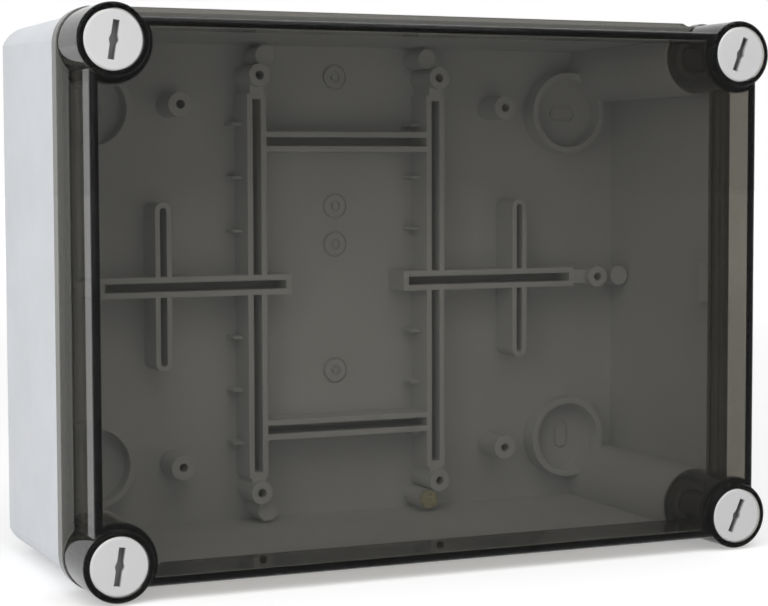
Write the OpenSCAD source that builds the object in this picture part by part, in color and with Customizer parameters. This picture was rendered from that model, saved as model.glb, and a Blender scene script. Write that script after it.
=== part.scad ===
// Wall-mounted junction box: a tray-shaped base, a smoked lid and four quarter-turn lid screws.
// Every piece is drawn lying on its wall face: x to the right, y up, z towards the front.
// stand() then sets the piece upright, with the front facing -Y and the wall face at Y = 0.

/* [Base] */
// Clear width between the side walls at the rim
inner_w = 304.4; // [280:0.2:340]
// Clear height between the top and bottom walls at the rim
inner_h = 223.6; // [205:0.2:250]
// Depth of the base, from the wall face to its rim
base_depth = 97; // [75:1:140]
// Thickness of the walls
wall = 5; // [4.4:0.1:6]
// Thickness of the floor
floor_t = 6; // [4:0.1:8]
// How much each wall leans in from the rim to the wall face
draft = 0.8; // [0.4:0.1:3]
// Distance from each inner wall to the screw axes
screw_inset = 8.2; // [7.6:0.1:9]
// Outer radius of the columns that go around the screw posts
column_r = 17.2; // [16.8:0.1:20]
// Wall of those columns
column_wall = 4; // [3.6:0.1:4.4]
// Radius of the screw posts
post_r = 9.6; // [9:0.1:10.4]

/* [Floor] */
// Height of the slotted rails above the floor
rail_h = 17.5; // [10:0.5:22]
// Overall width of a rail
rail_w = 9.4; // [8:0.1:12]
// Width of the slot in a rail
rail_slot = 4; // [3:0.1:5]
// Overall width of the short cross rails
short_w = 7.8; // [7:0.1:9]
// Width of the slot in a short cross rail
short_slot = 3; // [2:0.1:3.6]
// Radius of the bosses with a screw hole
boss_r = 5.2; // [4.6:0.1:6]
// Radius of the plain bosses
stub_r = 4.7; // [4:0.1:5.4]
// Radius of the four free pillars
pillar_r = 5.7; // [5:0.1:6.5]
// Height of the pillars above the floor
pillar_h = 18.5; // [12:0.5:24]
// How far the screw bosses stand above the rails
boss_rise = 4.5; // [1:0.5:8]
// Radius of the screw holes in the bosses and pillars
pilot_r = 2; // [1.5:0.1:2.4]
// Depth of those screw holes
pilot_deep = 12; // [8:0.5:15]
// Outer radius of the wells around the wall fixings
well_r = 19.8; // [17:0.1:20.5]
// Wall of those wells
well_wall = 3; // [2:0.1:3.4]
// Height of those wells above the floor
well_h = 10; // [5:0.5:12]
// How far the bottom of the wells stands above the floor
well_rise = 2; // [1:0.5:3]
// Width of the wall fixing slots
fixing_w = 5.5; // [4.5:0.1:6.5]
// Length of the wall fixing slots
fixing_l = 12; // [9:0.5:15]
// Skin that closes each wall fixing slot until it is knocked out
fixing_skin = 1.6; // [1.4:0.1:2]

/* [Lid] */
// Depth of the lid, from the rim to its face
lid_depth = 36; // [30:0.5:60]
// Thickness of the lid's face
lid_face = 3; // [2.5:0.1:4]
// Thickness of the lid's side walls
lid_wall = 3.5; // [3:0.1:3.8]
// How far the side walls lean in from the rim to the face
lid_lean = 0.6; // [0.3:0.1:1.2]
// Radius of the front edges
lid_round = 2.4; // [1:0.1:2.6]
// Height of the flange around the lid
flange_h = 7; // [4:0.5:10]
// How far the flange stands out beyond the base
flange_over = 2.1; // [1.8:0.1:2.6]
// How far the side walls stand back from the flange
flange_step = 5.3; // [4.8:0.1:5.6]
// How far the corner turrets stand above the face
turret_rise = 1; // [0.5:0.1:2]
// Wall of the turrets around the screw heads
turret_wall = 2.5; // [2:0.1:2.7]
// Wall between the lid's hollow and the screws
lid_web = 3; // [2.4:0.1:3.4]
// Width of the pry notch in the lid's flange
pry_w = 9.6; // [6:0.2:12]

/* [Lid screws] */
// Diameter of the screw heads
head_d = 24; // [22:0.5:26]
// Thickness of the screw heads
head_t = 4.5; // [4:0.1:6]
// Diameter of the shanks
shank_d = 9; // [8:0.1:9.4]
// Length of the driver slot
slot_l = 15.6; // [12:0.2:18]
// Width of the driver slot
slot_w = 2.7; // [2:0.1:3.2]
// Depth of the driver slot
slot_deep = 3.5; // [1.5:0.1:3.6]
// Reach of the two locking lugs from the screw's axis
lug_reach = 7; // [6.4:0.1:7.2]
// Width of the locking lugs
lug_w = 4; // [3:0.1:5]
// Thickness of the locking lugs
lug_t = 3; // [2:0.1:4]

/* [Seals] */
// Width of the gasket between the base and the lid
gasket_w = 2; // [1.6:0.1:2.2]
// Height of the gasket
gasket_h = 2.4; // [1.8:0.1:3]
// Thickness of the cord of the ring under each screw head
ring_d = 2; // [1.6:0.1:2.2]

/* [Hidden] */
$fn = 96;

// Clearances and the overrun of the cuts
cut = 1;
joint_gap = 0.1;
gasket_gap = 0.1;
head_gap = 0.3;
shank_gap = 0.08;
ring_gap = 0.08;
lug_gap = 0.4;

// Tables: the corners of the box, and how far each driver slot leans from upright when released
corner_shares = [[-1, 1], [1, 1], [-1, -1], [1, -1]];
rest_lean = [9, 21, 9, 24];
side_shares = [-1, 1];

// Main outline, as half widths and half heights
rim_x = inner_w / 2;
rim_y = inner_h / 2;
foot_x = rim_x - draft;
foot_y = rim_y - draft;
screw_x = rim_x - screw_inset;
screw_y = rim_y - screw_inset;
corner_r = wall + screw_inset;
lip_over = 0.5;
lip_h = 6;
reach = inner_w + inner_h;

// Groove of the gasket, in the middle of the rim
groove_x = rim_x + wall / 2;
groove_y = rim_y + wall / 2;
groove_r = column_r - column_wall / 2;
groove_w = gasket_w + 2 * gasket_gap;
tongue_w = 1.5;
tongue_h = 1.5;
groove_deep = tongue_h + gasket_h + gasket_gap;

// Lid
lid_z = base_depth + joint_gap;
face_z = base_depth + lid_depth;
turret_z = face_z + turret_rise;
turret_r = head_d / 2 + head_gap + turret_wall;
turret_round = 1.2;
flange_x = rim_x + wall + flange_over;
flange_y = rim_y + wall + flange_over;
flange_r = corner_r + flange_over;
wall_x = flange_x - flange_step;
wall_y = flange_y - flange_step;
hollow_x = wall_x - lid_wall;
hollow_y = wall_y - lid_wall;
body_x = screw_x + turret_r;
body_y = screw_y + turret_r;
lid_lip = 0.3;
hollow_r = groove_r + tongue_w / 2 + lid_lip;
hollow_fillet = 1.4;
chamber_r = hollow_r - lid_web;
sleeve_wall = 2.4;
sleeve_r = shank_d / 2 + sleeve_wall;
pry_deep = 1.2;
pry_x_share = 0.953;

// Lid screws, from the head down
head_drop = 0.3;
head_z = turret_z - head_drop;
seat_z = head_z - head_t;
ring_seat = ring_d + 2 * ring_gap;
ring_r = shank_d / 2 + ring_gap + ring_d / 2;
guide_l = 6;
guide_relief = 0.7;
slot_mid = slot_w * 1.5;
head_round = 0.9;
ledge_t = 6;
lug_z = base_depth - ledge_t - lug_gap;
tip_l = 1.2;
key_lean = 15;
key_half = 30;
lug_hole_r = lug_reach + lug_gap;

// Places on the floor, as shares of the half width and half height of the rim
rail_x_share = 0.297;
rail_low_share = 0.777;
rail_high_share = 0.762;
cross_low_share = 0.605;
cross_high_share = 0.589;
middle_in_share = 0.205;
middle_out_share = 0.7733;
middle_hole_share = 0.8627;
short_x_share = 0.5933;
short_end_share = 0.3077;
pillar_x_share = 0.5388;
pillar_y_share = 0.7379;
well_x_share = 0.798;
well_y_share = 0.72;
rail_x = rail_x_share * rim_x;
stub_off = 1.2;
stub_side = 4.2;
stub_sink = 0.8;
stub_x = rail_x - stub_side;
stub_y = foot_y - stub_off - stub_r;
rail_hole_y = stub_y - stub_r - boss_r + stub_sink;
middle_stub_x = foot_x - stub_off - stub_r + stub_sink / 2;
rail_z = floor_t + rail_h;
rail_wall = (rail_w - rail_slot) / 2;
boss_z = rail_z + boss_rise;
tie_t = 1.6;
tie_z = floor_t + rail_h * 0.75;
gusset_t = 1.4;
gusset_l = 4.6;
gusset_h = rail_h * 0.55;
gusset_pitch_share = 0.2205;
gusset_counts = [-3, -2, -1, 1, 2, 3];
dial_y_shares = [0.864, 0.318, 0.157, -0.383];
dial_r = 5.2;
dial_wall = 2.6;
dial_dot_r = 1.3;
dial_rise = 0.8;
dial_groove_w = 1;
dial_groove_deep = 0.5;
knock_w = 1.2;
knock_deep = 0.7;
tab_l = 18;
tab_w = 4.6;
tab_t = 3.5;
tab_drop = 1.5;
slot_floor = 1;

// Earth screw on the lower right plain boss
earth_head_r = stub_r - 0.3;
earth_head_t = 2.2;
earth_shank_r = 1.95;
earth_shank_l = 9;
earth_slot_w = 1.1;
earth_gap = 0.12;

// Sets a lying piece upright
module stand() {
    rotate([90, 0, 0]) children();
}

// Puts its children on one screw axis
module at_screw(c) {
    translate([c[0] * screw_x, c[1] * screw_y, 0]) children();
}

// Block whose half sizes go from (xa, ya) at height za to (xb, yb) at height zb
module tapered(xa, ya, za, xb, yb, zb) {
    intersection() {
        rotate([90, 0, 0])
            linear_extrude(height = reach, center = true)
                polygon([[-xa, za], [xa, za], [xb, zb], [-xb, zb]]);
        rotate([90, 0, 90])
            linear_extrude(height = reach, center = true)
                polygon([[-ya, za], [ya, za], [yb, zb], [-yb, zb]]);
    }
}

// Straight block with round corners of radius r
module rounded(x, y, r, za, zb) {
    translate([0, 0, za])
        linear_extrude(height = zb - za) {
            square([2 * (x - r), 2 * y], center = true);
            square([2 * x, 2 * (y - r)], center = true);
            for (c = corner_shares)
                translate([c[0] * (x - r), c[1] * (y - r)]) circle(r = r);
        }
}

// Straight block whose corners are scooped out around the screw axes
module scooped(x, y, r, za, zb) {
    difference() {
        translate([-x, -y, za]) cube([2 * x, 2 * y, zb - za]);
        for (c = corner_shares)
            at_screw(c) translate([0, 0, za - cut]) {
                cylinder(r = r, h = zb - za + 2 * cut);
                translate([min(0, c[0] * r), min(0, c[1] * r), 0])
                    cube([r, r, zb - za + 2 * cut]);
            }
    }
}

// Band of width w that follows the rim and passes inside the screws
module rim_band(w, za, zb) {
    difference() {
        scooped(groove_x + w / 2, groove_y + w / 2, groove_r - w / 2, za, zb);
        scooped(groove_x - w / 2, groove_y - w / 2, groove_r + w / 2, za - cut, zb + cut);
    }
}

// Upright block between two corners of its plan
module bar(xa, ya, xb, yb, za, zb) {
    translate([xa, ya, za]) cube([xb - xa, yb - ya, zb - za]);
}

// Bar with round ends along y, from ya to yb, centred on x
module round_bar(x, ya, yb, w, za, zb) {
    bar(x - w / 2, ya, x + w / 2, yb, za, zb);
    for (y = [ya, yb]) translate([x, y, za]) cylinder(d = w, h = zb - za);
}

// Places of the cross rails and of the ends of the upright rails, below (-1) or above (1) the middle
function cross_y(t) = rim_y * (t < 0 ? -cross_low_share : cross_high_share);
function rail_end_y(t) = rim_y * (t < 0 ? -rail_low_share : rail_high_share);

// Outline of the base's walls and floor, with a low lip below the lid's flange
module base_shell() {
    difference() {
        union() {
            intersection() {
                tapered(foot_x + wall, foot_y + wall, 0, rim_x + wall, rim_y + wall, base_depth);
                rounded(rim_x + wall, rim_y + wall, corner_r, 0, base_depth);
            }
            rounded(rim_x + wall + lip_over, rim_y + wall + lip_over, corner_r + lip_over,
                base_depth - lip_h, base_depth);
        }
        intersection() {
            tapered(foot_x, foot_y, floor_t, rim_x + draft * cut / base_depth,
                rim_y + draft * cut / base_depth, base_depth + cut);
            scooped(reach / 2, reach / 2, column_r, floor_t, base_depth + cut);
        }
        for (c = corner_shares) screw_pocket(c);
    }
}

// Hollow between a screw post and the column around it
module screw_pocket(c) {
    difference() {
        intersection() {
            at_screw(c) translate([0, 0, floor_t])
                cylinder(r = column_r - column_wall, h = base_depth);
            tapered(foot_x, foot_y, floor_t, rim_x, rim_y, base_depth + cut);
        }
        at_screw(c) cylinder(r = post_r, h = base_depth + 2 * cut);
    }
}

// Socket of a lid screw: keyway, ledge and the room below it where the lugs turn
module screw_socket(c) {
    room_h = lug_t + 2 * lug_gap + tip_l;
    at_screw(c) {
        translate([0, 0, lug_z - room_h + lug_gap]) cylinder(r = lug_hole_r, h = room_h);
        translate([0, 0, lug_z]) cylinder(d = shank_d + 2 * lug_gap, h = base_depth);
        translate([0, 0, lug_z])
            intersection() {
                cylinder(r = lug_hole_r, h = base_depth);
                for (turn = [0, 180])
                    rotate([0, 0, turn - key_lean])
                        linear_extrude(height = base_depth)
                            polygon([
                                [0, 0],
                                [-lug_hole_r * 2 * sin(key_half), lug_hole_r * 2 * cos(key_half)],
                                [lug_hole_r * 2 * sin(key_half), lug_hole_r * 2 * cos(key_half)]
                            ]);
            }
    }
}

// Rails, bosses and pillars that stand on the floor
module floor_solids() {
    for (s = side_shares) {
        bar(s * rail_x - rail_w / 2, rail_end_y(-1) - rail_wall,
            s * rail_x + rail_w / 2, rail_end_y(1) + rail_wall, 0, rail_z);
        bar(-rail_x, cross_y(s) - rail_w / 2, rail_x, cross_y(s) + rail_w / 2, 0, rail_z);
        bar(min(s * middle_in_share, s * middle_out_share) * rim_x - rail_wall, -rail_w / 2,
            max(s * middle_in_share, s * middle_out_share) * rim_x + rail_wall, rail_w / 2,
            0, rail_z);
        round_bar(s * short_x_share * rim_x, -short_end_share * rim_y, short_end_share * rim_y,
            short_w, 0, rail_z);
        middle_end(s);
        for (t = side_shares) {
            rail_end(s, t);
            translate([s * pillar_x_share * rim_x, t * pillar_y_share * rim_y, 0])
                cylinder(r = pillar_r, h = floor_t + pillar_h);
            translate([s * well_x_share * rim_x, t * well_y_share * rim_y, 0])
                cylinder(r = well_r, h = floor_t + well_h);
        }
        for (n = gusset_counts) gusset(s, n);
    }
    for (y_share = dial_y_shares)
        translate([0, y_share * rim_y, 0]) dial_mark();
    rim_tab();
}

// Screw boss, plain boss and tie at the end of an upright rail
module rail_end(s, t) {
    translate([s * rail_x, t * rail_hole_y, 0]) cylinder(r = boss_r, h = boss_z);
    bar(s * rail_x - rail_w / 2 + rail_wall / 2, min(t * rail_hole_y, rail_end_y(t)),
        s * rail_x + rail_w / 2 - rail_wall / 2, max(t * rail_hole_y, rail_end_y(t)),
        0, rail_z);
    translate([s * stub_x, t * stub_y, 0]) cylinder(r = stub_r, h = rail_z);
    bar(s * stub_x - tie_t / 2, min(t * stub_y, t * (foot_y + wall / 2)),
        s * stub_x + tie_t / 2, max(t * stub_y, t * (foot_y + wall / 2)), 0, tie_z);
}

// Screw boss, plain boss and tie at the outer end of a middle rail
module middle_end(s) {
    hole_x = s * middle_hole_share * rim_x;
    slot_x = s * middle_out_share * rim_x;
    end_x = s * middle_stub_x;
    translate([hole_x, 0, 0]) cylinder(r = boss_r, h = boss_z);
    bar(min(hole_x, slot_x), -rail_w / 2 + rail_wall / 2,
        max(hole_x, slot_x), rail_w / 2 - rail_wall / 2, 0, rail_z);
    translate([end_x, 0, 0]) cylinder(r = stub_r, h = rail_z);
    bar(min(end_x, s * (foot_x + wall / 2)), -tie_t / 2,
        max(end_x, s * (foot_x + wall / 2)), tie_t / 2, 0, tie_z);
}

// Small gussets on both flanks of an upright rail
module gusset(s, n) {
    y = n * gusset_pitch_share * rim_y;
    bar(s * rail_x - rail_w / 2 - gusset_l, y - gusset_t / 2,
        s * rail_x + rail_w / 2 + gusset_l, y + gusset_t / 2, 0, floor_t + gusset_h);
}

// Low ring with a dot, left on the floor by the mould
module dial_mark() {
    difference() {
        cylinder(r = dial_r, h = floor_t + dial_rise);
        translate([0, 0, floor_t]) cylinder(r = dial_r - dial_wall, h = base_depth);
    }
    cylinder(r = dial_dot_r, h = floor_t + 1.5 * dial_rise);
}

// Groove around such a ring
module dial_groove() {
    translate([0, 0, floor_t - dial_groove_deep])
        difference() {
            cylinder(r = dial_r + dial_groove_w, h = dial_rise);
            translate([0, 0, -cut]) cylinder(r = dial_r, h = dial_rise + 2 * cut);
        }
}

// Tab on the inside of the right wall, just under the rim
module rim_tab() {
    translate([rim_x - tab_w, -tab_l / 2, base_depth - tab_drop - tab_t])
        cube([tab_w + wall / 2, tab_l, tab_t]);
}

// Slots and holes of the rails, bosses, pillars and wells
module floor_cuts() {
    slot_z = floor_t + slot_floor;
    for (s = side_shares) {
        bar(min(s * middle_in_share, s * middle_out_share) * rim_x, -rail_slot / 2,
            max(s * middle_in_share, s * middle_out_share) * rim_x, rail_slot / 2,
            slot_z, rail_z + cut);
        bar(-rail_x + rail_w / 2, cross_y(s) - rail_slot / 2,
            rail_x - rail_w / 2, cross_y(s) + rail_slot / 2, slot_z, rail_z + cut);
        pilot([s * middle_hole_share * rim_x, 0], boss_z);
        for (t = side_shares) {
            bar(s * rail_x - rail_slot / 2, min(t * rail_w / 2, rail_end_y(t)),
                s * rail_x + rail_slot / 2, max(t * rail_w / 2, rail_end_y(t)),
                slot_z, rail_z + cut);
            short_slot_cut(s, t, slot_z);
            pilot([s * rail_x, t * rail_hole_y], boss_z);
            pilot([s * pillar_x_share * rim_x, t * pillar_y_share * rim_y], floor_t + pillar_h);
            well_cut(s, t);
        }
    }
    for (y_share = dial_y_shares)
        translate([0, y_share * rim_y, 0]) dial_groove();
    translate([stub_x, -stub_y, rail_z - earth_shank_l - cut])
        cylinder(r = earth_shank_r + earth_gap, h = earth_shank_l + 2 * cut);
}

// Half of the slot in a short cross rail, with a round outer end
module short_slot_cut(s, t, za) {
    x = s * short_x_share * rim_x;
    y_out = t * short_end_share * rim_y;
    bar(x - short_slot / 2, min(t * rail_w / 2, y_out),
        x + short_slot / 2, max(t * rail_w / 2, y_out), za, rail_z + cut);
    translate([x, y_out, za]) cylinder(d = short_slot, h = rail_h + cut);
}

// Screw hole in a boss or pillar whose top is at height top
module pilot(place, top) {
    translate([place[0], place[1], top - pilot_deep])
        cylinder(r = pilot_r, h = pilot_deep + cut);
}

// Inside of a wall fixing well up to the column beside it, its slot from behind and the knock-out's groove
module well_cut(s, t) {
    bottom = floor_t + well_rise;
    translate([0, 0, bottom])
        difference() {
            translate([s * well_x_share * rim_x, t * well_y_share * rim_y, 0])
                cylinder(r = well_r - well_wall, h = well_h + cut);
            at_screw([s, t]) cylinder(r = column_r, h = base_depth);
        }
    translate([s * well_x_share * rim_x, t * well_y_share * rim_y, 0])
        rotate([0, 0, t > 0 ? 0 : 90]) {
            translate([0, 0, -cut])
                linear_extrude(height = bottom - fixing_skin + cut) oblong(fixing_w);
            translate([0, 0, bottom - knock_deep])
                linear_extrude(height = knock_deep + cut)
                    difference() {
                        oblong(fixing_w + 2 * knock_w);
                        oblong(fixing_w);
                    }
        }
}

// Plan of the fixing slot, or a wider outline around it
module oblong(w) {
    run = (fixing_l - fixing_w) / 2;
    square([2 * run, w], center = true);
    for (e = side_shares) translate([e * run, 0]) circle(d = w);
}

module base() {
    color([0.82, 0.83, 0.84])
        difference() {
            union() {
                base_shell();
                intersection() {
                    floor_solids();
                    tapered(foot_x + wall / 2, foot_y + wall / 2, floor_t / 2,
                        rim_x + wall / 2, rim_y + wall / 2, base_depth);
                }
            }
            floor_cuts();
            for (c = corner_shares) screw_socket(c);
            rim_band(groove_w, base_depth - groove_deep, base_depth + cut);
        }
}

module gasket() {
    color([0.16, 0.16, 0.17])
        rim_band(gasket_w, base_depth - groove_deep, base_depth - groove_deep + gasket_h);
}

module earth_screw() {
    color([0.72, 0.60, 0.28])
        translate([stub_x, -stub_y, rail_z])
            difference() {
                union() {
                    cylinder(r = earth_head_r, h = earth_head_t);
                    translate([0, 0, -earth_shank_l])
                        cylinder(r = earth_shank_r, h = earth_shank_l);
                }
                translate([-stub_r, -earth_slot_w / 2, earth_head_t / 2])
                    cube([2 * stub_r, earth_slot_w, earth_head_t]);
            }
}

// Hollow of the lid, scooped around the screws, with a fillet where the scoops meet the face
module lid_hollow() {
    top = face_z - lid_face;
    lean = lid_lean / (top - lid_z);
    difference() {
        intersection() {
            tapered(hollow_x + lean * cut, hollow_y + lean * cut, lid_z - cut,
                hollow_x - lid_lean, hollow_y - lid_lean, top);
            scooped(reach / 2, reach / 2, hollow_r, lid_z - cut, top);
        }
        for (c = corner_shares)
            at_screw(c)
                rotate_extrude()
                    difference() {
                        translate([hollow_r - hollow_fillet, top - hollow_fillet])
                            square([2 * hollow_fillet, hollow_fillet + cut]);
                        translate([hollow_r + hollow_fillet, top - hollow_fillet])
                            circle(r = hollow_fillet);
                    }
    }
}

// Closed chamber inside a turret, around the sleeve of its screw
module lid_chamber(c) {
    top = seat_z - ring_seat - lid_face;
    difference() {
        intersection() {
            at_screw(c) translate([0, 0, lid_z - cut]) cylinder(r = chamber_r, h = top - lid_z + cut);
            tapered(hollow_x, hollow_y, lid_z - cut,
                hollow_x - lid_lean, hollow_y - lid_lean, top + lid_face);
        }
        at_screw(c) translate([0, 0, lid_z - 2 * cut]) cylinder(r = sleeve_r, h = reach);
    }
}

// Seat of a screw head and its ring, the running hole for the shank and the wider hole below it
module lid_bore(c) {
    at_screw(c) {
        translate([0, 0, seat_z - head_gap]) cylinder(d = head_d + 2 * head_gap, h = head_t + cut * 2);
        translate([0, 0, seat_z - head_gap - ring_seat])
            cylinder(r = ring_r + ring_d / 2 + ring_gap, h = ring_seat + cut);
        translate([0, 0, lid_z - cut]) cylinder(d = shank_d + 2 * shank_gap, h = seat_z - lid_z);
        translate([0, 0, lid_z - cut])
            cylinder(d = shank_d + 2 * guide_relief,
                h = seat_z - head_gap - ring_seat - guide_l - lid_z + cut);
    }
}

// Turret around one screw, with a round outer edge
module turret() {
    h = turret_z - lid_z;
    rotate_extrude() {
        square([turret_r - turret_round, h]);
        square([turret_r, h - turret_round]);
        translate([turret_r - turret_round, h - turret_round]) circle(r = turret_round);
    }
}

// What a round front edge takes off a side wall whose outer face starts at half size out
module lid_edge(out) {
    slope = lid_lean / (face_z - lid_z);
    tilt = atan(slope);
    far = lid_round + 3 * cut;
    rotate([90, 0, 0])
        linear_extrude(height = reach, center = true)
            translate([out - lid_lean + slope * lid_round - lid_round / cos(tilt), face_z - lid_round])
                difference() {
                    polygon([
                        [0, 0], [0, lid_round + cut], [lid_round + 2 * cut, lid_round + cut],
                        [far * cos(tilt), far * sin(tilt)]
                    ]);
                    circle(r = lid_round);
                }
}

// V-shaped notch in the top of the flange, where a blade can lift the lid
module pry_notch() {
    translate([pry_x_share * screw_x, flange_y, lid_z - cut])
        linear_extrude(height = flange_h + 2 * cut)
            polygon([
                [-pry_w / 2, cut], [-pry_w / 2, 0], [-pry_w / 4, -pry_deep],
                [pry_w / 4, -pry_deep], [pry_w / 2, 0], [pry_w / 2, cut]
            ]);
}

module lid() {
    color([0.32, 0.33, 0.31])
        difference() {
            union() {
                difference() {
                    intersection() {
                        tapered(wall_x, wall_y, lid_z, wall_x - lid_lean, wall_y - lid_lean, face_z);
                        rounded(body_x, body_y, turret_r, lid_z, face_z);
                    }
                    for (turn = [0, 180]) {
                        rotate([0, 0, turn]) lid_edge(wall_x);
                        rotate([0, 0, turn + 90]) lid_edge(wall_y);
                    }
                }
                rounded(flange_x, flange_y, flange_r, lid_z, base_depth + flange_h);
                for (c = corner_shares) at_screw(c) translate([0, 0, lid_z]) turret();
                rim_band(tongue_w, base_depth - tongue_h, lid_z + cut);
            }
            lid_hollow();
            for (c = corner_shares) {
                lid_chamber(c);
                lid_bore(c);
            }
            pry_notch();
        }
}

module lid_screw(n) {
    c = corner_shares[n];
    color([0.9, 0.9, 0.9])
        at_screw(c)
            rotate([0, 0, -rest_lean[n]])
                difference() {
                    union() {
                        translate([0, 0, seat_z]) screw_head();
                        translate([0, 0, lug_z - lug_t - tip_l])
                            cylinder(d = shank_d, h = seat_z - lug_z + lug_t + tip_l);
                        intersection() {
                            translate([-lug_w / 2, -lug_reach, lug_z - lug_t])
                                cube([lug_w, 2 * lug_reach, lug_t]);
                            translate([0, 0, lug_z - lug_t]) cylinder(r = lug_reach, h = lug_t);
                        }
                    }
                    driver_slot();
                }
}

// Flat head with a round edge
module screw_head() {
    rotate_extrude() {
        square([head_d / 2 - head_round, head_t]);
        square([head_d / 2, head_t - head_round]);
        translate([head_d / 2 - head_round, head_t - head_round]) circle(r = head_round);
    }
}

// Driver slot with a wider middle
module driver_slot() {
    translate([-slot_w / 2, -slot_l / 2, head_z - slot_deep])
        cube([slot_w, slot_l, slot_deep + cut]);
    translate([0, 0, head_z - slot_deep])
        linear_extrude(height = slot_deep + cut)
            polygon([
                [-slot_mid / 2, 0], [-slot_w / 2, -slot_mid / 2], [slot_w / 2, -slot_mid / 2],
                [slot_mid / 2, 0], [slot_w / 2, slot_mid / 2], [-slot_w / 2, slot_mid / 2]
            ]);
}

// Rubber ring under a screw head
module screw_seal(n) {
    color([0.12, 0.12, 0.12])
        at_screw(corner_shares[n])
            translate([0, 0, seat_z - ring_gap - ring_d / 2])
                rotate_extrude() translate([ring_r, 0]) circle(d = ring_d);
}

stand() base();
stand() gasket();
stand() earth_screw();
stand() lid();
stand() lid_screw(0);  // screw_top_left
stand() lid_screw(1);  // screw_top_right
stand() lid_screw(2);  // screw_bottom_left
stand() lid_screw(3);  // screw_bottom_right
stand() screw_seal(0);  // seal_top_left
stand() screw_seal(1);  // seal_top_right
stand() screw_seal(2);  // seal_bottom_left
stand() screw_seal(3);  // seal_bottom_right
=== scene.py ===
"""Finishes of a wall-mounted junction box with a smoked lid, and the studio that it is shown in."""

import bpy
import numpy as np
from mathutils import Matrix, Vector


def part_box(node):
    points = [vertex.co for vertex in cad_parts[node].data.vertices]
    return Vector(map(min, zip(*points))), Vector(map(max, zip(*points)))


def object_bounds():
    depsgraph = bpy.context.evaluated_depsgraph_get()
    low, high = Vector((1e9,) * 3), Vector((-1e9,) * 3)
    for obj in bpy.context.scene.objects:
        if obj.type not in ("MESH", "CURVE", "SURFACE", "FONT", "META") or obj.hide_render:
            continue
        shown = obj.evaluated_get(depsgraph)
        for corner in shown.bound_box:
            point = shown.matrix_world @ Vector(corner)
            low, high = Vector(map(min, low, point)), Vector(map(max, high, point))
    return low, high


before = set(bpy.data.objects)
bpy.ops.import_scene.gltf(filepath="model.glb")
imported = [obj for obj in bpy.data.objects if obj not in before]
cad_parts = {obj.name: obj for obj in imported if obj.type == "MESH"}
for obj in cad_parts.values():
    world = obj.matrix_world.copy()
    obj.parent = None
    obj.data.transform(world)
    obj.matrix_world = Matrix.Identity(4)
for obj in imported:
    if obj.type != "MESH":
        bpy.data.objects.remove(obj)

BOX_LOW, BOX_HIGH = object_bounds()

bl_info = {
    "name": "Junction Box",
    "version": (1, 0, 0),
    "blender": (4, 5, 0),
    "location": "3D View > Sidebar > Junction Box",
    "description": "Finishes and studio of a junction box with a smoked lid",
    "category": "Object",
}

CORNERS = ("top_left", "top_right", "bottom_left", "bottom_right")
MM = 0.001

# The lid screws: where their axes stand, and where the heads end in front
HEAD_LOW, HEAD_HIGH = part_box("screw_top_right")
SCREW_AXIS = ((HEAD_LOW.x + HEAD_HIGH.x) / 2, (HEAD_LOW.z + HEAD_HIGH.z) / 2)
HEAD_FRONT = HEAD_LOW.y

# The driver slots carry painted shade: its reach from the axis, the depths behind the head's front at which
# it begins and ends, and its grey
SLOT_REACH = 8.2 * MM
SLOT_REACH_FADE = 1.0 * MM
SLOT_SHADE_BEGINS = (0.4 * MM, 2.2 * MM)
SLOT_SHADE_ENDS = (3.9 * MM, 4.4 * MM)
SLOT_PAINTED_SHADE = 0.19

# The lid's ledge: it lies outside the side walls and behind the flange's front, and is matt
LID_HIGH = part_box("lid")[1]
LEDGE_WIDTH = 5.2 * MM
LID_WALL = (LID_HIGH.x - LEDGE_WIDTH, LID_HIGH.z - LEDGE_WIDTH)
FLANGE_FRONT = -104 * MM
LEDGE_SIDE_FADE = 0.3 * MM
LEDGE_FRONT_FADE = (0.4 * MM, 0.1 * MM)
LEDGE_GREY = (0.44, 0.44, 0.42)
LEDGE_HAZE = 0.3

# Moulded plastic: index of refraction, sizes of the colour drift, the uneven sheen and the grain
PLASTIC_BENDING = 1.48
DRIFT_SIZE = 35 * MM
SHEEN_SIZE = 9 * MM
SHEEN_DRIFT = 0.15
GRAIN_SIZE = 0.9 * MM
GRAIN_DETAIL = 3.0

# Clear plastic: its own colour, how it drifts, uneven polish, and faint ripples of the mould
CLEAR_COLOR = (0.97, 0.97, 0.965)
CLEAR_DRIFT = 0.015
CLEAR_DRIFT_SIZE = 60 * MM
POLISH_SIZE = 14 * MM
POLISH_DRIFT = 0.4
RIPPLE_SIZE = 6 * MM
RIPPLE_DEPTH = 0.004 * MM

# Lamps shine straight through the lid, a longer way than bent light takes: this makes up for it
STRAIGHT_PATH_GAIN = 1.2

# White plastic and rubber: colour drift, roughness, depth of the grain, radius of the edges
WHITE_SKIN = (0.03, 0.38, 0.02 * MM, 0.5 * MM)
RUBBER_SKIN = (0.15, 0.7, 0.05 * MM, 0.2 * MM)

# Brass: strength and size of the darker patches, range and size of the uneven gloss, edges and marks
PATCH_STRENGTH = 0.12
PATCH_SIZE = 3 * MM
BRASS_GLOSS = (0.25, 0.42)
BRASS_GLOSS_SIZE = 1.5 * MM
BRASS_EDGE = 0.3 * MM
BRASS_MARK_DEPTH = 0.02 * MM
BRASS_MARK_SIZE = 0.6 * MM

# The middle part of a noise that is used, and how many rays soften an edge
NOISE_RANGE = (0.3, 0.7)
EDGE_RAYS = 4

# Floor: how far it lies below the box, lines of its grid, and how its own white grows from near to far
FLOOR_GAP = 0.5 * MM
FLOOR_LINES = 9
LIFT_DISTANCE = (0.4, 2.5)
LIFT_STRENGTH = (0.35, 0.75)

# Lamps: name, place, side of the square, and the property that holds the power
LAMPS = (
    ("key_lamp", (-0.65, -0.9, 0.95), 1.1, "key_power"),
    ("fill_lamp", (-1.3, -0.9, 0.4), 1.0, "fill_power"),
    ("top_lamp", (0.1, -0.85, 1.35), 1.3, "top_power"),
)

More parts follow.
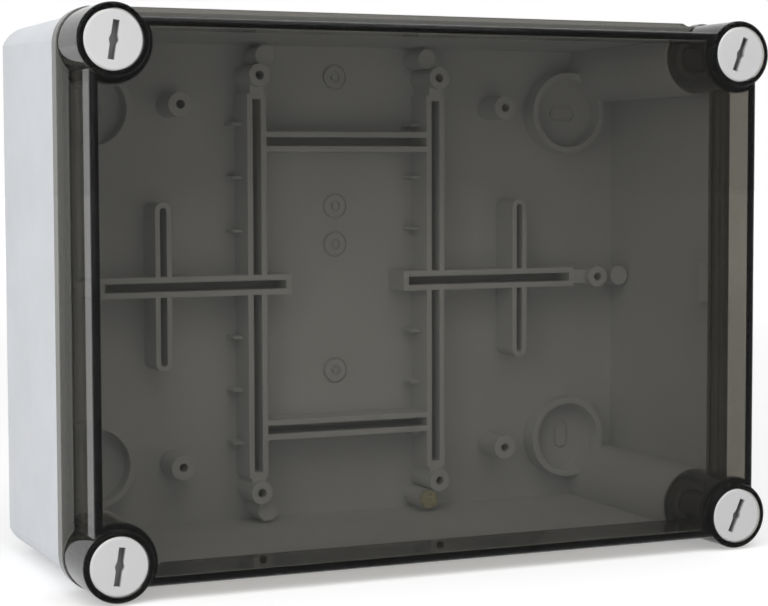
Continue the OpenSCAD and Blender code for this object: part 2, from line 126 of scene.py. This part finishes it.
# Light of the background and of the floor's own white, with full alpha
WHITE = (1.0, 1.0, 1.0, 1.0)

# Camera: width of the sensor in mm, nearest and farthest that it sees
SENSOR_WIDTH = 36.0
SEEN_FROM = 0.01
SEEN_TO = 100.0


# Properties that a user would change


class BaseFinish(bpy.types.PropertyGroup):
    """Look of the moulded base."""

    plastic: bpy.props.FloatVectorProperty(
        name="Plastic",
        description="Colour of the moulded base",
        default=(0.635, 0.655, 0.69),
        min=0.0,
        max=1.0,
        size=3,
        subtype="COLOR",
    )
    mottling: bpy.props.FloatProperty(
        name="Mottling",
        description="How much the colour drifts over the moulding",
        default=0.03,
        min=0.0,
        max=0.5,
        subtype="FACTOR",
    )
    gloss_loss: bpy.props.FloatProperty(
        name="Roughness",
        description="Roughness of the satin skin",
        default=0.42,
        min=0.0,
        max=1.0,
        subtype="FACTOR",
    )
    grain: bpy.props.FloatProperty(
        name="Grain",
        description="Depth of the fine grain that the mould leaves",
        default=0.03 * MM,
        min=0.0,
        max=1.0 * MM,
        unit="LENGTH",
        precision=5,
    )
    edge_round: bpy.props.FloatProperty(
        name="Edge round",
        description="Radius at which the moulded edges catch the light",
        default=0.6 * MM,
        min=0.0,
        max=3.0 * MM,
        unit="LENGTH",
        precision=4,
    )


class LidFinish(bpy.types.PropertyGroup):
    """Look of the smoked lid."""

    smoke: bpy.props.FloatProperty(
        name="Smoke",
        description="How much light the plastic takes away per metre of thickness",
        default=290.0,
        min=0.0,
        max=2000.0,
    )
    smoke_tint: bpy.props.FloatVectorProperty(
        name="Smoke tint",
        description="Colour that the smoke lets through more easily",
        default=(0.115, 0.085, 0.008),
        min=0.0,
        max=1.0,
        size=3,
        subtype="COLOR",
    )
    bending: bpy.props.FloatProperty(
        name="Index of refraction",
        description="How strongly the clear plastic bends light",
        default=1.42,
        min=1.0,
        max=2.0,
    )
    mirror: bpy.props.FloatProperty(
        name="Mirroring",
        description="Share of the reflection that bare clear plastic would have",
        default=0.3,
        min=0.0,
        max=1.0,
        subtype="FACTOR",
    )
    haze: bpy.props.FloatProperty(
        name="Haze",
        description="Roughness of the polished faces",
        default=0.03,
        min=0.0,
        max=1.0,
        subtype="FACTOR",
    )
    edge_round: bpy.props.FloatProperty(
        name="Edge round",
        description="Radius at which the lid's edges catch the light",
        default=0.8 * MM,
        min=0.0,
        max=3.0 * MM,
        unit="LENGTH",
        precision=4,
    )


class ScrewFinish(bpy.types.PropertyGroup):
    """Look of the lid screws, their rings, the gasket and the earth screw."""

    white: bpy.props.FloatVectorProperty(
        name="White plastic",
        description="Colour of the lid screws",
        default=(0.60, 0.595, 0.60),
        min=0.0,
        max=1.0,
        size=3,
        subtype="COLOR",
    )
    rubber: bpy.props.FloatVectorProperty(
        name="Rubber",
        description="Colour of the gasket and the rings",
        default=(0.03, 0.03, 0.032),
        min=0.0,
        max=1.0,
        size=3,
        subtype="COLOR",
    )
    brass: bpy.props.FloatVectorProperty(
        name="Brass",
        description="Colour of the earth screw",
        default=(0.72, 0.69, 0.49),
        min=0.0,
        max=1.0,
        size=3,
        subtype="COLOR",
    )


class Studio(bpy.types.PropertyGroup):
    """Floor, lamps, background and camera."""

    floor: bpy.props.FloatVectorProperty(
        name="Floor",
        description="Colour of the floor",
        default=(0.86, 0.86, 0.86),
        min=0.0,
        max=1.0,
        size=3,
        subtype="COLOR",
    )
    floor_span: bpy.props.FloatProperty(
        name="Floor span",
        description="Half the length of the floor's sides",
        default=12.0,
        min=1.0,
        max=40.0,
        unit="LENGTH",
    )
    ambient: bpy.props.FloatProperty(
        name="Ambient light",
        description="Strength of the even light from all sides",
        default=0.42,
        min=0.0,
        max=2.0,
    )
    key_power: bpy.props.FloatProperty(
        name="Key lamp",
        description="Power of the large soft lamp at the front left",
        default=5.0,
        min=0.0,
        max=200.0,
        unit="POWER",
    )
    fill_power: bpy.props.FloatProperty(
        name="Fill lamp",
        description="Power of the soft lamp farther left",
        default=7.0,
        min=0.0,
        max=200.0,
        unit="POWER",
    )
    top_power: bpy.props.FloatProperty(
        name="Top lamp",
        description="Power of the soft lamp high in front",
        default=9.0,
        min=0.0,
        max=200.0,
        unit="POWER",
    )
    camera_place: bpy.props.FloatVectorProperty(
        name="Camera place",
        description="Where the camera stands",
        default=(-0.36709, -0.90276, 0.05296),
        size=3,
        subtype="TRANSLATION",
        unit="LENGTH",
        precision=5,
    )
    camera_aim: bpy.props.FloatVectorProperty(
        name="Camera aim",
        description="The point in the middle of the picture",
        default=(-0.00046, -0.067, -0.00709),
        size=3,
        subtype="TRANSLATION",
        unit="LENGTH",
        precision=5,
    )
    camera_roll: bpy.props.FloatProperty(
        name="Camera roll",
        description="How far the camera is turned about its own line of sight",
        default=-0.0027,
        subtype="ANGLE",
        unit="ROTATION",
        precision=5,
    )
    camera_lens: bpy.props.FloatProperty(
        name="Lens",
        description="Focal length",
        default=95.22,
        min=10.0,
        max=300.0,
        unit="CAMERA",
    )


# Small helpers for node trees and surfaces


def new_material(name):
    """An empty node material, with its node tree and its output node."""
    material = bpy.data.materials.new(name)
    material.use_nodes = True
    tree = material.node_tree
    tree.nodes.clear()
    output = tree.nodes.new("ShaderNodeOutputMaterial")
    return material, tree, output


def add_node(tree, kind, **inputs):
    """A node of this kind, with its inputs set by name."""
    made = tree.nodes.new(kind)
    for name, value in inputs.items():
        made.inputs[name.replace("_", " ")].default_value = value
    return made


def opaque(color):
    """A colour with full alpha, as sockets want it."""
    return (*color, 1.0)


def place_on_piece(tree):
    """Object coordinates, which are the places of the shared frame in metres."""
    return tree.nodes.new("ShaderNodeTexCoord").outputs["Object"]


def vector_step(tree, operation, source, by=None):
    """A Vector Math node on a source, with a constant as its second input."""
    made = tree.nodes.new("ShaderNodeVectorMath")
    made.operation = operation
    tree.links.new(source, made.inputs[0])
    if by is not None:
        made.inputs[1].default_value = by
    return made


def number_step(tree, operation, one, other):
    """Two values of the tree, joined by a Math node."""
    made = tree.nodes.new("ShaderNodeMath")
    made.operation = operation
    tree.links.new(one, made.inputs[0])
    tree.links.new(other, made.inputs[1])
    return made.outputs["Value"]


def coordinates(tree, source):
    """The X, Y and Z of a vector, as three outputs by name."""
    split = tree.nodes.new("ShaderNodeSeparateXYZ")
    tree.links.new(source, split.inputs["Vector"])
    return split.outputs


def noise_over_piece(tree, size, detail=2.0):
    """Noise on Object coordinates whose features are about size metres wide."""
    noise = add_node(tree, "ShaderNodeTexNoise", Scale=1.0 / size, Detail=detail)
    tree.links.new(place_on_piece(tree), noise.inputs["Vector"])
    return noise.outputs["Fac"]


def ranged(tree, source, low, high, to_low, to_high):
    """Maps low to high onto to_low to to_high, and holds the ends."""
    made = add_node(tree, "ShaderNodeMapRange")
    for name, value in zip(("From Min", "From Max", "To Min", "To Max"), (low, high, to_low, to_high)):
        made.inputs[name].default_value = value
    tree.links.new(source, made.inputs["Value"])
    return made.outputs["Result"]


def spread(tree, source, low, high):
    """Maps the middle of a noise to low to high."""
    return ranged(tree, source, *NOISE_RANGE, low, high)


def blended(tree, share):
    """A node that blends its colours A and B by a share from the tree."""
    blend = tree.nodes.new("ShaderNodeMix")
    blend.data_type = "RGBA"
    tree.links.new(share, blend.inputs["Factor"])
    return blend


def shaded_color(tree, color, change, size):
    """The colour, a little darker and lighter from place to place."""
    blend = blended(tree, spread(tree, noise_over_piece(tree, size), 0.0, 1.0))
    blend.inputs["A"].default_value = opaque([c * (1.0 - change) for c in color])
    blend.inputs["B"].default_value = opaque([min(1.0, c * (1.0 + change)) for c in color])
    return blend.outputs["Result"]


def uneven(tree, middle, drift, size):
    """A value that drifts around its middle by this share of it."""
    return spread(tree, noise_over_piece(tree, size), middle * (1.0 - drift), middle * (1.0 + drift))


def rounded_normal(tree, radius, grain, grain_size):
    """Normal with round edges of this radius and a fine grain of this depth."""
    edges = add_node(tree, "ShaderNodeBevel", Radius=radius)
    edges.samples = EDGE_RAYS
    bump = add_node(tree, "ShaderNodeBump", Strength=1.0, Distance=grain)
    tree.links.new(noise_over_piece(tree, grain_size, GRAIN_DETAIL), bump.inputs["Height"])
    tree.links.new(edges.outputs["Normal"], bump.inputs["Normal"])
    return bump.outputs["Normal"]


def mixed_shader(tree, share, first, second):
    """Two shaders, mixed by a share from the tree."""
    choice = tree.nodes.new("ShaderNodeMixShader")
    tree.links.new(share, choice.inputs["Fac"])
    tree.links.new(first, choice.inputs[1])
    tree.links.new(second, choice.inputs[2])
    return choice.outputs["Shader"]


def moulded_plastic(name, color, mottling, roughness, grain, edge_round, shade=None):
    """Satin plastic: drifting colour, uneven sheen, fine grain and softened edges."""
    material, tree, output = new_material(name)
    skin = add_node(tree, "ShaderNodeBsdfPrincipled", IOR=PLASTIC_BENDING)
    paint = shaded_color(tree, color, mottling, DRIFT_SIZE)
    # When given, shade paints shade into the colour; the lid screws use it for painted shade in their
    # driver slots
    if shade:
        paint = shade(tree, paint)
    tree.links.new(paint, skin.inputs["Base Color"])
    tree.links.new(uneven(tree, roughness, SHEEN_DRIFT, SHEEN_SIZE), skin.inputs["Roughness"])
    tree.links.new(rounded_normal(tree, edge_round, grain, GRAIN_SIZE), skin.inputs["Normal"])
    tree.links.new(skin.outputs["BSDF"], output.inputs["Surface"])
    return material


def lid_ledge(tree):
    """1 on the ledge around the lid's foot: outside the side walls and behind the flange's front."""
    place = place_on_piece(tree)
    folded = vector_step(tree, "ABSOLUTE", place)
    beyond = vector_step(tree, "SUBTRACT", folded.outputs["Vector"], (LID_WALL[0], 0.0, LID_WALL[1]))
    across = coordinates(tree, beyond.outputs["Vector"])
    farther = number_step(tree, "MAXIMUM", across["X"], across["Z"])
    outside = ranged(tree, farther, 0.0, LEDGE_SIDE_FADE, 0.0, 1.0)
    fade_from, fade_to = (FLANGE_FRONT - depth for depth in LEDGE_FRONT_FADE)
    behind = ranged(tree, coordinates(tree, place)["Y"], fade_from, fade_to, 0.0, 1.0)
    return number_step(tree, "MULTIPLY", outside, behind)


def smoked_plastic(name, smoke, tint, bending, mirror, haze, edge_round):
    """Clear plastic that takes light away along its thickness and lets lamps shine into the box."""
    material, tree, output = new_material(name)
    clear = add_node(tree, "ShaderNodeBsdfPrincipled", IOR=bending)
    clear.inputs["Specular Tint"].default_value = opaque([mirror] * 3)
    clear.inputs["Transmission Weight"].default_value = 1.0
    paint = shaded_color(tree, CLEAR_COLOR, CLEAR_DRIFT, CLEAR_DRIFT_SIZE)
    tree.links.new(paint, clear.inputs["Base Color"])
    tree.links.new(uneven(tree, haze, POLISH_DRIFT, POLISH_SIZE), clear.inputs["Roughness"])
    tree.links.new(rounded_normal(tree, edge_round, RIPPLE_DEPTH, RIPPLE_SIZE), clear.inputs["Normal"])
    through = add_node(tree, "ShaderNodeBsdfTransparent", Color=opaque([STRAIGHT_PATH_GAIN] * 3))
    path = tree.nodes.new("ShaderNodeLightPath").outputs
    lamps_and_bounces = number_step(tree, "MAXIMUM", path["Is Shadow Ray"], path["Is Diffuse Ray"])
    polished = mixed_shader(tree, lamps_and_bounces, clear.outputs["BSDF"], through.outputs["BSDF"])
    matt = add_node(tree, "ShaderNodeBsdfDiffuse", Color=opaque(LEDGE_GREY))
    on_ledge = ranged(tree, lid_ledge(tree), 0.0, 1.0, 0.0, LEDGE_HAZE)
    tree.links.new(mixed_shader(tree, on_ledge, polished, matt.outputs["BSDF"]), output.inputs["Surface"])
    inside = add_node(tree, "ShaderNodeVolumeAbsorption", Color=opaque(tint), Density=smoke)
    tree.links.new(inside.outputs["Volume"], output.inputs["Volume"])
    return material


def painted_shade_in_slots(tree, color):
    """Paints shade into a colour inside the driver slots, by depth below the head and distance from its
    axis.
    """
    place = place_on_piece(tree)
    folded = vector_step(tree, "ABSOLUTE", place)
    from_axis = vector_step(tree, "SUBTRACT", folded.outputs["Vector"], (SCREW_AXIS[0], 0.0, SCREW_AXIS[1]))
    flat = vector_step(tree, "MULTIPLY", from_axis.outputs["Vector"], (1.0, 0.0, 1.0))
    radius = vector_step(tree, "LENGTH", flat.outputs["Vector"]).outputs["Value"]
    within_reach = ranged(tree, radius, SLOT_REACH, SLOT_REACH + SLOT_REACH_FADE, 1.0, 0.0)
    depth = coordinates(tree, place)["Y"]
    sunk = ranged(tree, depth, *(HEAD_FRONT + d for d in SLOT_SHADE_BEGINS), 0.0, 1.0)
    above_shank = ranged(tree, depth, *(HEAD_FRONT + d for d in SLOT_SHADE_ENDS), 1.0, 0.0)
    slot_shade_mask = number_step(tree, "MULTIPLY", number_step(tree, "MULTIPLY", within_reach, sunk), above_shank)
    # Painted shade: the colour turns grey on the slots' walls and floors, where the deep slots lie in shade
    blend = blended(tree, slot_shade_mask)
    blend.inputs["B"].default_value = opaque([SLOT_PAINTED_SHADE] * 3)
    tree.links.new(color, blend.inputs["A"])
    return blend.outputs["Result"]


def turned_brass(name, color):
    """Bright turned brass with a few darker patches."""
    material, tree, output = new_material(name)
    metal = add_node(tree, "ShaderNodeBsdfPrincipled", Metallic=1.0)
    gloss = spread(tree, noise_over_piece(tree, BRASS_GLOSS_SIZE), *BRASS_GLOSS)
    normal = rounded_normal(tree, BRASS_EDGE, BRASS_MARK_DEPTH, BRASS_MARK_SIZE)
    tree.links.new(shaded_color(tree, color, PATCH_STRENGTH, PATCH_SIZE), metal.inputs["Base Color"])
    tree.links.new(gloss, metal.inputs["Roughness"])
    tree.links.new(normal, metal.inputs["Normal"])
    tree.links.new(metal.outputs["BSDF"], output.inputs["Surface"])
    return material


def dress(node, material):
    """Gives a CAD node its finish."""
    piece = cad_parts[node]
    for place in piece.material_slots:
        place.link = "OBJECT"
        place.material = material
    if not piece.material_slots:
        raise RuntimeError("no material slot on " + node)


def surface(name, x, y, z):
    """A mesh from three arrays of coordinates on a grid of two parameters, one quad per cell."""
    rows, columns = x.shape
    corner = np.arange(rows * columns).reshape(rows, columns)
    quads = np.stack(
        [corner[:-1, :-1], corner[:-1, 1:], corner[1:, 1:], corner[1:, :-1]], axis=-1
    ).reshape(-1, 4)
    mesh = bpy.data.meshes.new(name)
    mesh.from_pydata(np.stack([x, y, z], axis=-1).reshape(-1, 3).tolist(), [], quads.tolist())
    mesh.update()
    piece = bpy.data.objects.new(name, mesh)
    bpy.context.scene.collection.objects.link(piece)
    return piece


def soft_lamp(name, place, aim, side, power):
    """A square soft lamp that looks from place to aim."""
    lamp = bpy.data.lights.new(name, "AREA")
    lamp.shape = "RECTANGLE"
    lamp.size = side
    lamp.size_y = side
    lamp.energy = power
    stand = bpy.data.objects.new(name, lamp)
    stand.location = place
    stand.rotation_euler = (Vector(aim) - Vector(place)).to_track_quat("-Z", "Y").to_euler()
    bpy.context.scene.collection.objects.link(stand)


# Operators


class JUNCTIONBOX_OT_base(bpy.types.Operator):
    """Give the moulded base its satin plastic"""

    bl_idname = "junction_box.base"
    bl_label = "Base"

    def execute(self, context):
        look = context.scene.box_base
        skin = (look.mottling, look.gloss_loss, look.grain, look.edge_round)
        dress("base", moulded_plastic("grey_plastic", look.plastic, *skin))
        return {"FINISHED"}


class JUNCTIONBOX_OT_lid(bpy.types.Operator):
    """Give the lid its clear smoked plastic"""

    bl_idname = "junction_box.lid"
    bl_label = "Smoked lid"

    def execute(self, context):
        look = context.scene.box_lid
        smoke = (look.smoke, look.smoke_tint, look.bending)
        skin = (look.mirror, look.haze, look.edge_round)
        dress("lid", smoked_plastic("smoked_plastic", *smoke, *skin))
        return {"FINISHED"}


class JUNCTIONBOX_OT_lid_screws(bpy.types.Operator):
    """Give the four lid screws their white plastic, with painted shade in the driver slots"""

    bl_idname = "junction_box.lid_screws"
    bl_label = "Lid screws"

    def execute(self, context):
        look = context.scene.box_screws
        # The white plastic carries painted shade in the driver slots
        white = moulded_plastic("white_plastic", look.white, *WHITE_SKIN, painted_shade_in_slots)
        for corner in CORNERS:
            dress("screw_" + corner, white)
        return {"FINISHED"}


class JUNCTIONBOX_OT_seals(bpy.types.Operator):
    """Give the gasket and the rings their black rubber"""

    bl_idname = "junction_box.seals"
    bl_label = "Gasket and rings"

    def execute(self, context):
        look = context.scene.box_screws
        rubber = moulded_plastic("black_rubber", look.rubber, *RUBBER_SKIN)
        dress("gasket", rubber)
        for corner in CORNERS:
            dress("seal_" + corner, rubber)
        return {"FINISHED"}


class JUNCTIONBOX_OT_earth_screw(bpy.types.Operator):
    """Give the earth screw its brass"""

    bl_idname = "junction_box.earth_screw"
    bl_label = "Earth screw"

    def execute(self, context):
        dress("earth_screw", turned_brass("brass", context.scene.box_screws.brass))
        return {"FINISHED"}


class JUNCTIONBOX_OT_stage(bpy.types.Operator):
    """Set up the floor, the lamps, the white background and the camera"""

    bl_idname = "junction_box.stage"
    bl_label = "Stage"

    def execute(self, context):
        look = context.scene.box_studio
        lay_floor(look)
        hang_lamps(look)
        light_background(look)
        place_camera(look)
        context.scene.view_settings.view_transform = "Standard"
        return {"FINISHED"}


def lay_floor(look):
    """Flat floor just under the box: x and y run over the two parameters, z stays level."""
    along = np.linspace(-look.floor_span, look.floor_span, FLOOR_LINES)
    x, y = np.meshgrid(along, along)
    floor = surface("floor", x, y, np.full_like(x, BOX_LOW.z - FLOOR_GAP))
    material, tree, output = new_material("pale_floor")
    paint = add_node(tree, "ShaderNodeBsdfDiffuse", Color=opaque(look.floor))
    lift = add_node(tree, "ShaderNodeEmission", Color=WHITE)
    strength = number_step(tree, "MULTIPLY", seen_directly(tree), lift_by_distance(tree))
    tree.links.new(strength, lift.inputs["Strength"])
    both = tree.nodes.new("ShaderNodeAddShader")
    tree.links.new(paint.outputs["BSDF"], both.inputs[0])
    tree.links.new(lift.outputs["Emission"], both.inputs[1])
    tree.links.new(both.outputs["Shader"], output.inputs["Surface"])
    floor.data.materials.append(material)


def lift_by_distance(tree):
    """Strength of the floor's own white: low around the box, and enough for pure white far away."""
    away = vector_step(tree, "LENGTH", place_on_piece(tree))
    return ranged(tree, away.outputs["Value"], *LIFT_DISTANCE, *LIFT_STRENGTH)


def seen_directly(tree):
    """1 for rays that show a background to the eye, also by way of gloss or glass."""
    path = tree.nodes.new("ShaderNodeLightPath").outputs
    by_eye_or_gloss = number_step(tree, "MAXIMUM", path["Is Camera Ray"], path["Is Glossy Ray"])
    return number_step(tree, "MAXIMUM", by_eye_or_gloss, path["Is Transmission Ray"])


def hang_lamps(look):
    """Three soft lamps around the front of the box."""
    middle = (BOX_LOW + BOX_HIGH) / 2
    for name, place, side, power in LAMPS:
        soft_lamp(name, place, middle, side, getattr(look, power))


def light_background(look):
    """White to the eye, and an even soft light on everything."""
    world = bpy.data.worlds.new("studio_air")
    bpy.context.scene.world = world
    world.use_nodes = True
    tree = world.node_tree
    tree.nodes.clear()
    output = tree.nodes.new("ShaderNodeOutputWorld")
    even = add_node(tree, "ShaderNodeBackground", Color=WHITE, Strength=look.ambient)
    white = add_node(tree, "ShaderNodeBackground", Color=WHITE, Strength=1.0)
    both = mixed_shader(tree, seen_directly(tree), even.outputs["Background"], white.outputs["Background"])
    tree.links.new(both, output.inputs["Surface"])


def place_camera(look):
    """Camera at its place, aimed and rolled as the photograph was taken."""
    lens = bpy.data.cameras.new("camera")
    lens.lens = look.camera_lens
    lens.sensor_width = SENSOR_WIDTH
    lens.clip_start = SEEN_FROM
    lens.clip_end = SEEN_TO
    camera = bpy.data.objects.new("camera", lens)
    bpy.context.scene.collection.objects.link(camera)
    sight = Vector(look.camera_aim) - Vector(look.camera_place)
    turn = sight.to_track_quat("-Z", "Y").to_matrix().to_4x4()
    roll = Matrix.Rotation(look.camera_roll, 4, "Z")
    camera.matrix_world = Matrix.Translation(Vector(look.camera_place)) @ turn @ roll
    bpy.context.scene.camera = camera


class JUNCTIONBOX_PT_panel(bpy.types.Panel):
    """Lists the pieces' finishes and the studio"""

    bl_idname = "JUNCTIONBOX_PT_panel"
    bl_label = "Junction Box"
    bl_space_type = "VIEW_3D"
    bl_region_type = "UI"
    bl_category = "Junction Box"

    def draw(self, context):
        for group_name, operators in PANEL_ROWS:
            box = self.layout.box()
            group = getattr(context.scene, group_name)
            for key in group.bl_rna.properties.keys():
                if key not in ("rna_type", "name"):
                    box.prop(group, key)
            for operator in operators:
                box.operator(operator)


GROUPS = {
    "box_base": BaseFinish,
    "box_lid": LidFinish,
    "box_screws": ScrewFinish,
    "box_studio": Studio,
}
OPERATORS = (
    JUNCTIONBOX_OT_base,
    JUNCTIONBOX_OT_lid,
    JUNCTIONBOX_OT_lid_screws,
    JUNCTIONBOX_OT_seals,
    JUNCTIONBOX_OT_earth_screw,
    JUNCTIONBOX_OT_stage,
)
PANEL_ROWS = (
    ("box_base", ("junction_box.base",)),
    ("box_lid", ("junction_box.lid",)),
    ("box_screws", ("junction_box.lid_screws", "junction_box.seals", "junction_box.earth_screw")),
    ("box_studio", ("junction_box.stage",)),
)


def register():
    for group_name, group in GROUPS.items():
        bpy.utils.register_class(group)
        setattr(bpy.types.Scene, group_name, bpy.props.PointerProperty(type=group))
    for operator in OPERATORS:
        bpy.utils.register_class(operator)
    bpy.utils.register_class(JUNCTIONBOX_PT_panel)


def unregister():
    bpy.utils.unregister_class(JUNCTIONBOX_PT_panel)
    for operator in reversed(OPERATORS):
        bpy.utils.unregister_class(operator)
    for group_name, group in reversed(GROUPS.items()):
        delattr(bpy.types.Scene, group_name)
        bpy.utils.unregister_class(group)


def main():
    register()
    bpy.ops.junction_box.base()
    bpy.ops.junction_box.lid()
    bpy.ops.junction_box.lid_screws()
    bpy.ops.junction_box.seals()
    bpy.ops.junction_box.earth_screw()
    bpy.ops.junction_box.stage()


if __name__ == "__main__":
    main()
